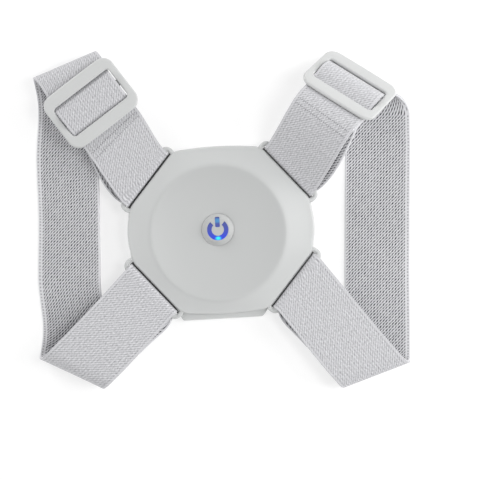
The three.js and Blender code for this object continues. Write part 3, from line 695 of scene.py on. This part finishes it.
def inlay(name, outline, node):
    """A raised inlay with a rounded upper edge, from an outline that runs anticlockwise."""
    top = dish_z(0) + KEY_RISE + SYMBOL_PROUD
    low = top - SYMBOL_DEPTH
    ahead = np.roll(outline, -1, 0) - np.roll(outline, 1, 0)
    normals = np.column_stack([ahead[:, 1], -ahead[:, 0]])
    normals /= np.linalg.norm(normals, axis=1)[:, None]
    rings = []
    bevel = 0.14
    for inset, z in ((0, low), (0, top - bevel), (0.04, top - 0.05), (bevel, top)):
        p = outline - normals * inset + KEY_AT
        rings.append(np.column_stack([p, np.full(len(p), z)]))
    faces = stack_faces(len(rings), len(outline), False)
    obj = add_mesh(name, np.concatenate(rings), faces, SYMBOL_LIGHT, False)
    piece(obj, "key", node)


def build_symbol():
    inner = SYMBOL_RADIUS - SYMBOL_STROKE
    opening = math.radians(SYMBOL_OPENING)
    turns = np.linspace(math.pi / 2 + opening, 2.5 * math.pi - opening, 60)
    outside = [(SYMBOL_RADIUS * math.cos(a), SYMBOL_RADIUS * math.sin(a)) for a in turns]
    inside = [(inner * math.cos(a), inner * math.sin(a)) for a in turns[::-1]]
    inlay("power_symbol_ring", np.array(outside + inside), "symbol_ring")
    height, bar_corner = SYMBOL_BAR_TOP - SYMBOL_BAR_BOTTOM, 0.6
    bar, _ = rounded_rectangle(SYMBOL_BAR_WIDTH, height, bar_corner, 6, 2)
    bar[:, 1] += (SYMBOL_BAR_TOP + SYMBOL_BAR_BOTTOM) / 2
    inlay("power_symbol_bar", bar, "symbol_bar")


# The webbing's middle surface is a list of straight lines across it, each an array of its two ends.
LAYER = WEB_THICK + CLEARANCE
FRAME_LOW = WEB_THICK / 2 + CLEARANCE           # a buckle's underside, over the middle of the webbing
HUMP = 2 * LAYER + 1.2                          # how far the webbing rises over the crossbar
HUMP_POWER = 0.8
CROSSBAR_LEVEL = HUMP - LAYER - FRAME_LOW - CROSSBAR_THICK / 2


def line(centre, across, half=WEB_WIDTH / 2):
    reach = half * unit(across)
    return np.array([centre + reach, centre - reach])


def span(start, leaving, end, arriving, steps):
    """Lines between two lines, leaving the first and reaching the second in the given directions."""
    lines = []
    lengths = np.linalg.norm(end - start, axis=1)[:, None]
    for u in np.arange(1, steps) / steps:
        first = start * (2 * u**3 - 3 * u**2 + 1) + leaving * lengths * (u**3 - 2 * u**2 + u)
        lines.append(first + end * (3 * u**2 - 2 * u**3) + arriving * lengths * (u**3 - u**2))
    return lines


class Roll:
    """The fold where the webbing comes over and down, and the axes of the buckle before it.

    The fold's line has the direction folded, and level lies square to it. In the buckle the webbing
    runs in the direction along, with across from edge to edge and normal out of its face.
    """

    def __init__(self, row, top):
        self.origin = np.array([row["x"], row["y"], row["z"]], float)
        self.tilt, self.skew = math.radians(row["tilt"]), math.radians(row["skew"])
        self.swing = row["swing"]
        self.folded = heading(row["fold"])
        self.level = np.cross(self.folded, UP) * top
        fall = self.level * math.cos(self.tilt) - UP * math.sin(self.tilt)
        self.along = fall * math.cos(self.skew) + self.folded * math.sin(self.skew)
        self.across = self.folded * math.cos(self.skew) - fall * math.sin(self.skew)
        self.normal = np.cross(self.along, self.across) * top

    def line(self, s, height=0.0):
        """The line at a distance past the buckle's middle, at a height over the webbing's plane."""
        return line(self.origin + self.along * s + self.normal * height, self.across)

    def lines(self, past, shift, steps=44):
        """The fold itself, begun a distance past the origin and shifted along the fold."""
        start = self.origin + self.along * past + self.folded * shift
        radius = (start[2] - WEB_THICK / 2) / (1 + math.cos(self.tilt))

        def outward(turn):
            return UP * math.cos(turn) + self.level * math.sin(turn)

        axis = start - outward(self.tilt) * radius
        half = WEB_WIDTH / 2 / math.cos(self.skew)
        made = []
        for u in np.linspace(0, 1, steps + 1):
            turn = (math.pi - self.tilt) * u
            drift = self.folded * radius * turn * math.tan(self.skew)
            centre = axis + outward(self.tilt + turn) * radius + drift
            made.append(line(centre, turned(self.folded, self.swing * u), half))
        return made


def slot_wrap(side, top, way, rise, steps=24):
    """Half a turn around a lug's bar, from behind it to its face."""
    _, out, centre = slot_frame(side, top)
    slant = math.acos(min(1, abs(float(np.dot(out, way)))))
    radius = LUG_THICK / 2 + CLEARANCE + WEB_THICK / 2
    axis = centre + out * (SLOT_GAP + LUG_THICK / 2)
    axis[2] = LUG_TOP - LUG_THICK / 2
    across = np.cross(UP, out) * top
    half = WEB_WIDTH / 2 / math.cos(slant)
    made = []
    for u in np.linspace(0, 1, steps + 1):
        turn = math.pi * u - math.radians(rise)
        middle = axis - out * radius * math.sin(turn) - UP * radius * math.cos(turn)
        made.append(line(middle, across, half))
    return made


def face_normals(lines):
    """Directions out of the outer face at both ends of each line, in an array of lines."""
    ahead = np.empty_like(lines)
    ahead[1:-1] = lines[2:] - lines[:-2]
    ahead[0], ahead[-1] = lines[1] - lines[0], lines[-1] - lines[-2]
    across = (lines[:, :1] - lines[:, 1:]).repeat(2, axis=1)
    normals = np.cross(ahead, across)
    return normals / np.linalg.norm(normals, axis=2, keepdims=True)


def layer_under(lines, depth_at, shift_at=None):
    """Lines moved off their face by a depth that changes along them, and sideways by a shift."""
    lines = np.array(lines)
    share = np.linspace(0, 1, len(lines))
    moved = lines - face_normals(lines) * depth_at(share)[:, None, None]
    if shift_at is not None:
        across = lines[:, 0] - lines[:, 1]
        across /= np.linalg.norm(across, axis=1)[:, None]
        moved += (across * shift_at(share)[:, None])[:, None]
    return moved


def length_of(lines):
    """Length along the middle of the lines."""
    return float(np.linalg.norm(np.diff(np.mean(lines, axis=1), axis=0), axis=1).sum())


def sliding_pass(roll, steps=40):
    """The way through the buckle, up over the crossbar and down again."""
    reach = WINDOW_DEPTH / 2

    def height(u):
        return HUMP * max(0.0, math.cos(math.pi / 2 * u)) ** HUMP_POWER

    return [roll.line(reach * u, height(u)) for u in np.linspace(-1, 1, steps + 1)]


def crossbar_loop(roll):
    """The sewn end, from under the lower bar, around the crossbar and back below itself."""
    around = CROSSBAR_THICK / 2 + FRAME_LOW
    straight = (CROSSBAR_WIDTH - CROSSBAR_THICK) / 2
    outer = WINDOW_DEPTH / 2

    def arc(middle, start, end, steps):
        turns = np.radians(np.linspace(start, end, steps + 1))
        return [(middle + around * math.cos(a), CROSSBAR_LEVEL + around * math.sin(a)) for a in turns]

    # Rows of the distance past the buckle's middle and the height
    rows = [(-outer, -LAYER), (-outer + 2.6, -LAYER * 0.9), (-straight - around - 0.9, -LAYER * 0.3)]
    rows += arc(-straight, 170, 90, 3) + arc(straight, 90, -90, 6)
    rows += [(-straight, CROSSBAR_LEVEL - around), (-straight - around, -LAYER * 1.25)]
    rows += [(-straight - 2 * around, -LAYER * 1.85), (-outer, -2 * LAYER)]
    return [roll.line(s, height) for s, height in rows]


def side_lines(loop, first, leaving, last, bottom, steps=24):
    """The run along the surface, from the line where the webbing leaves the top in a given direction."""
    down, square = heading(-90 + WEB_SIDE_LEAN), heading(180 + WEB_SIDE_LEAN)
    stations = []
    for x, y, lift in loop["side_run"]:
        across = square * WEB_WIDTH + UP * loop["side"] * lift
        stations.append(line(np.array([x, y, (WEB_THICK + abs(lift)) / 2]), across))
    arriving = bottom.level * math.cos(bottom.skew) - bottom.folded * math.sin(bottom.skew)
    stops = [first, *stations, last]
    ways = [leaving, *[down] * len(stations), arriving]
    lines = []
    for i, stop in enumerate(stops[1:]):
        lines += span(stops[i], ways[i], stop, ways[i + 1], steps)
        if i < len(stations):
            lines.append(stop)
    return lines


def strap_lines(loop):
    """The whole strap of one side in its order, and the number of its line at the buckle's lower edge."""
    side = loop["side"]
    roll = Roll(loop["buckle"], 1)
    top_way, bottom_way = heading(loop["top_heading"]), heading(loop["bottom_heading"])
    top_wrap = slot_wrap(side, 1, top_way, loop["top_rise"])
    bottom_wrap = slot_wrap(side, -1, bottom_way, 0)[::-1]
    rise = math.radians(loop["top_rise"])
    bar_out = top_way * math.cos(rise) + UP * math.sin(rise)
    under_bar = roll.line(-BUCKLE_DEPTH / 2 - 1)
    rising = span(top_wrap[-1], bar_out, under_bar, roll.along, 50)
    face = [top_wrap[-1], *rising, under_bar]
    behind_slot = LUG_THICK + 2 * FRAME_LOW

    def back_depth(u):
        return 2 * LAYER + (behind_slot - 2 * LAYER) * (1 - u) ** 2

    def back_shift(u):
        return -side * BACK_SHIFT * np.sin(np.pi * u**0.7)

    def lower_depth(u):
        return LAYER + (behind_slot - LAYER) * u**2

    def lower_shift(u):
        return side * TAIL_SHIFT * np.sin(np.pi * u**4)

    back = layer_under(face, back_depth, back_shift)[::-1]
    tail_start = round(len(face) * (1 - TAIL_PAST_BUCKLE / length_of(face)))
    tail = layer_under(face, lambda u: np.full(len(u), LAYER))[tail_start:]
    bottom = Roll(loop["bottom_roll"], -1)
    over = sliding_pass(roll)
    leaving = roll.along
    if loop["top_roll"]:
        over += roll.lines(*loop["top_roll"])
        leaving = -roll.level * math.cos(roll.skew) + roll.folded * math.sin(roll.skew)
    bottom_roll = bottom.lines(0, 0)[::-1]
    near = span(bottom_roll[-1], -bottom.along, bottom_wrap[0], bottom_way, 36)
    near_face = [bottom_roll[-1], *near, bottom_wrap[0]]
    lower_start = round(len(near_face) * (1 - LOWER_TAIL_LENGTH / length_of(near_face)))
    lower_tail = layer_under(near_face, lower_depth, lower_shift)[lower_start:][::-1]
    before = [*tail, *crossbar_loop(roll), *back[:-1], *top_wrap, *rising]
    side_run = side_lines(loop, over[-1], leaving, bottom_roll[0], bottom)
    lines = [*before, under_bar, *over, *side_run, *bottom_roll, *near, *bottom_wrap, *lower_tail[1:]]
    return np.array(lines), len(before)


ROUTE_STEP = 0.2                # between samples of the route
ROUTE_BLUR = 0.45               # spread of its smoothing
ROW_DENSITY = (0.62, 1.7)       # rows of mesh per millimetre, where straight and where bent
BEND_DENSITY = 5.0              # rows for each radian of bend


def resample(lines, at_bar):
    """Rows of the webbing, closer where it bends, and the length along it at each and at one line."""
    middle = lines.mean(axis=1)
    steps = np.linalg.norm(np.diff(middle, axis=0), axis=1)
    keep = np.concatenate([[True], steps > 1e-4])
    length = np.concatenate([[0], np.cumsum(steps)])
    bar = length[at_bar]
    lines, length = lines[keep], length[keep]
    # Even samples of both ends of the lines, smoothed by a bell curve with the route carried on past its ends
    fine = np.arange(0, length[-1], ROUTE_STEP)
    flat = np.array([np.interp(fine, length, lines.reshape(len(lines), 6)[:, k]) for k in range(6)]).T
    kernel = np.exp(-0.5 * (np.arange(-6, 7) * ROUTE_STEP / ROUTE_BLUR) ** 2)
    kernel /= kernel.sum()
    padded = np.concatenate([2 * flat[:1] - flat[6:0:-1], flat, 2 * flat[-1:] - flat[-2:-8:-1]])
    flat = np.array([np.convolve(padded[:, k], kernel, "valid") for k in range(6)]).T
    # As many rows as the bend asks for
    centre = (flat[:, :3] + flat[:, 3:]) / 2
    ahead = np.gradient(centre, fine, axis=0)
    ahead /= np.linalg.norm(ahead, axis=1)[:, None]
    bend = np.linalg.norm(np.gradient(ahead, fine, axis=0), axis=1)
    density = np.clip(bend * BEND_DENSITY, *ROW_DENSITY)
    passed = np.concatenate([[0], np.cumsum((density[1:] + density[:-1]) / 2 * np.diff(fine))])
    rows = np.interp(np.linspace(0, passed[-1], int(passed[-1]) + 1), passed, fine)
    picked = np.array([np.interp(rows, fine, flat[:, k]) for k in range(6)]).T
    return picked.reshape(-1, 2, 3), rows, bar


def face_columns():
    """Distances across the webbing, and the height there of its selvage and ribs from 0 to 1."""
    rim = [(0.0, 0.25), (0.35, 0.8), (0.8, 1.0), (1.25, 0.75), (SELVAGE - 0.15, 0.15)]
    mirrored = [(WEB_WIDTH - t, h) for t, h in rim[::-1]]
    rib = ((0.2, 0.6), (0.5, 0.95), (0.8, 0.6), (1.0, 0.2))
    places = list(rim)
    for k in range(RIBS):
        start = SELVAGE + k * PITCH
        shape = rib if k < RIBS - 1 else rib[:-1]
        places += [(start + PITCH * part, height) for part, height in shape]
    return np.array(places + mirrored)


FACE_RELIEF = 0.04
INSIDE_RELIEF = 0.14


def seam_distance(loop, rows, bar, u):
    """How far the face lies past the first row of stitches that holds the sewn end behind it."""
    near, slant = loop["seam"]
    return bar + 1 - rows[:, None] - near + slant * (u[None, :] - 1)


def seam_ridge(seam):
    """How much the face stands up along the two rows of stitches, each with its height and spread."""
    (far_height, far_spread), (near_height, near_spread) = (0.4, 0.9), (0.12, 0.7)
    far_row = far_height * np.exp(-0.5 * ((seam - SEAM_GAP) / far_spread) ** 2)
    return far_row + near_height * np.exp(-0.5 * (seam / near_spread) ** 2)


def end_faces(base, count, flip):
    """Quads that close one end of the webbing, from its face to its inside, from a row of points."""
    faces = []
    for k in range(count - 1):
        quad = (base + k, base + k + 1, base + 2 * count - 2 - k, base + 2 * count - 1 - k)
        faces.append(quad if flip else quad[::-1])
    return faces


def build_strap(name, loop, node):
    """The webbing of one side: a closed sheet with ribs, and the attributes that its material reads."""
    lines, at_bar = strap_lines(loop)
    lines, rows, bar = resample(lines, at_bar)
    normals = face_normals(lines)
    columns = face_columns()
    share = columns[:, 0] / WEB_WIDTH
    count = len(columns)
    left, right = lines[:, :1], lines[:, 1:]
    across = left[:, 0] - right[:, 0]
    widths = np.linalg.norm(across, axis=1)
    centre = lines.mean(axis=1)
    ahead = np.gradient(centre, rows, axis=0)
    ahead /= np.linalg.norm(ahead, axis=1)[:, None]
    skewed = np.einsum("ij,ij->i", across / widths[:, None], ahead)
    sheets, weave, seams = [], [], []
    for face, relief in ((1, FACE_RELIEF), (-1, INSIDE_RELIEF)):
        u = share if face > 0 else share[::-1]
        height = columns[:, 1] if face > 0 else columns[::-1, 1]
        middle = left + (right - left) * u[None, :, None]
        normal = normals[:, :1] + (normals[:, 1:] - normals[:, :1]) * u[None, :, None]
        normal /= np.linalg.norm(normal, axis=2, keepdims=True)
        rise = np.broadcast_to(WEB_THICK / 2 - relief * (1 - height), (len(rows), count)).copy()
        seam = seam_distance(loop, rows, bar, u)
        if face > 0:
            rise += seam_ridge(seam)
        sheets.append(middle + normal * (face * rise)[:, :, None])
        offset = (0.5 - u)[None, :] * widths[:, None]
        s = rows[:, None] + offset * skewed[:, None]
        t = np.broadcast_to(u * WEB_WIDTH, s.shape)
        weave.append(np.dstack([s, t, np.full_like(s, face)]))
        outer = t if loop["side"] < 0 else WEB_WIDTH - t
        seams.append(np.dstack([seam, outer, np.zeros_like(s)]))
    points = np.concatenate(sheets, axis=1).reshape(-1, 3)
    around = [f[::-1] for f in stack_faces(len(rows), 2 * count, False)[:-2]]
    last = (len(rows) - 1) * 2 * count
    faces = around + end_faces(last, count, True) + end_faces(0, count, False)
    obj = add_mesh(name, points, faces, WEBBING)
    for key, values in (("weave", weave), ("seam", seams)):
        attribute = obj.data.attributes.new(key, "FLOAT_VECTOR", "POINT")
        flat = np.concatenate(values, axis=1).reshape(-1).astype(np.float32)
        attribute.data.foreach_set("vector", flat)
    piece(obj, "corrector", node)


def build_buckle(name, loop, node):
    """A frame with a rounded edge, its crossbar below it, and a block at each end that joins the two."""
    roll = Roll(loop["buckle"], 1)
    bow, edge_round, block_round = 0.35, 1.0, 0.6
    outer = rounded_rectangle(BUCKLE_DEPTH, BUCKLE_LENGTH, BUCKLE_CORNER, 14, 12, bow)
    inner = rounded_rectangle(WINDOW_DEPTH, WINDOW_LENGTH, WINDOW_CORNER, 14, 12)
    low = CROSSBAR_LEVEL - CROSSBAR_THICK / 2
    bar_length = (BUCKLE_LENGTH + WINDOW_LENGTH) / 2
    bar_points, bar_faces = rounded_bar(bar_length, CROSSBAR_WIDTH, CROSSBAR_THICK, edge_round)
    parts = [
        frame_plate(outer, inner, FRAME_LOW, FRAME_LOW + BUCKLE_THICK, edge_round, 6),
        (bar_points + [0, 0, CROSSBAR_LEVEL], bar_faces),
    ]
    block = (BUCKLE_LENGTH - WINDOW_LENGTH) / 2 - 2 * CLEARANCE
    height = FRAME_LOW + BUCKLE_THICK / 2 - low
    for end in (-1, 1):
        points, faces = rounded_bar(block, CROSSBAR_SEAT, height, block_round)
        parts.append((points + [0, end * (WINDOW_LENGTH + block) / 2, low + height / 2], faces))
    points, faces = join(parts)
    placed = place(points, roll.origin, roll.along, roll.across, roll.normal)
    obj = add_mesh(name, placed, faces, BUCKLE_PLASTIC)
    piece(obj, "corrector", node)


build_housing()
build_back()
build_key()
build_symbol()
build_buckle("buckle_left", LEFT, "left_buckle")
build_buckle("buckle_right", RIGHT, "right_buckle")
build_strap("webbing_left", LEFT, "left_strap")
build_strap("webbing_right", RIGHT, "right_strap")

# Stage, lights and camera
FLOOR_HALF = 2500.0
# Painted shadow on the floor under the housing and in its slots
FLOOR_PAINTED_SHADOW = (0.1, 0.1, 0.1)
FLOOR_PALE = ((0.40, 0.40, 0.40), (0.42, 0.42, 0.42))
FLOOR_GLOW = 0.62
AMBIENT_ABOVE = 0.25
AMBIENT_AROUND = 0.42
# Rows of name, place, size and watts
LIGHTS = [
    ("key_light", (1000, 60, 440), 700, 7.2),
    ("sheen_light", (330, 30, 640), 260, 1.6),
    ("top_light", (-640, 800, 360), 500, 4.8),
    ("fill_light", (-750, -750, 380), 600, 3.2),
]
CAMERA_AT = (10.7, -6.4, 650.0)
CAMERA_ROLL = -3.3
CAMERA_ANGLE = 24.5


def build_floor():
    """A plain pale floor with a faint glow that softens shadows, and a painted shadow, with no glow, right
    under the housing and its slots.
    """
    m = Material("floor", 0.9, Specular_IOR_Level=0.0, Emission_Color=(1.0, 1.0, 1.0, 1.0))
    x, y, z = m.position()
    sine, cosine = math.sin(math.radians(SLOT_ANGLE)), math.cos(math.radians(SLOT_ANGLE))
    # How far a point lies out past the nearest slot's inner edge, and along it from its middle
    out = x.abs() * sine + y.abs() * cosine - (SLOT_X * sine + SLOT_Y * cosine)
    along = (y.abs() - SLOT_Y) * sine - (x.abs() - SLOT_X) * cosine
    # 0 under the housing or in a slot, where the floor takes the painted shadow and no glow, and 1 beyond it
    beyond_body = out.step(-4.0, 0.5).most(x.abs().step(44.0, 50.0)).most(y.abs().step(40.0, 46.0))
    past_ends = along.abs().step(SLOT_LENGTH / 2 - 0.4, SLOT_LENGTH / 2 + 0.6)
    beyond_slot = past_ends.most((out - SLOT_GAP / 2).abs().step(1.2, 2.0))
    clear = beyond_body.least(beyond_slot)
    pale = m.mix(m.noise((x, y, z), 0.01), *FLOOR_PALE)
    m.colour(m.mix(clear, FLOOR_PAINTED_SHADOW, pale))
    m.link((clear * FLOOR_GLOW).socket, m.shader.inputs["Emission Strength"])
    points = [(sx * FLOOR_HALF, sy * FLOOR_HALF, 0) for sx, sy in ((-1, -1), (1, -1), (1, 1), (-1, 1))]
    floor = add_mesh("floor", points, [(0, 1, 2, 3)], m.data, False)


def area_light(name, place_mm, size_mm, watts):
    """A round lamp that faces the middle of the object."""
    data = bpy.data.lights.new(name, "AREA")
    data.shape = "DISK"
    data.size = size_mm * MM
    data.energy = watts
    lamp = bpy.data.objects.new(name, data)
    lamp.location = Vector(place_mm) * MM
    lamp.rotation_euler = (-Vector(place_mm)).to_track_quat("-Z", "Y").to_euler()
    bpy.context.scene.collection.objects.link(lamp)


def studio_world():
    """Soft white all round, brighter towards the horizon than overhead."""
    world = bpy.data.worlds.new("studio")
    world.use_nodes = True
    tree = world.node_tree
    split = tree.nodes.new("ShaderNodeSeparateXYZ")
    tree.links.new(tree.nodes.new("ShaderNodeTexCoord").outputs["Generated"], split.inputs[0])
    z = Field(tree, split.outputs[2])
    strength = AMBIENT_ABOVE + (1.0 - z * z) * AMBIENT_AROUND
    background = tree.nodes["Background"]
    background.inputs["Color"].default_value = (1.0, 1.0, 1.0, 1)
    tree.links.new(strength.socket, background.inputs["Strength"])
    bpy.context.scene.world = world


def build_stage():
    build_floor()
    for row in LIGHTS:
        area_light(*row)
    studio_world()


def build_camera():
    """Straight above the object, turned a little about its own axis."""
    data = bpy.data.cameras.new("camera")
    data.angle = math.radians(CAMERA_ANGLE)
    data.clip_start = 0.01
    camera = bpy.data.objects.new("camera", data)
    roll = Matrix.Rotation(math.radians(CAMERA_ROLL), 4, "Z")
    camera.matrix_world = Matrix.Translation(Vector(CAMERA_AT) * MM) @ roll
    bpy.context.scene.collection.objects.link(camera)
    bpy.context.scene.camera = camera


build_stage()
build_camera()
bpy.context.scene.view_settings.view_transform = "Standard"
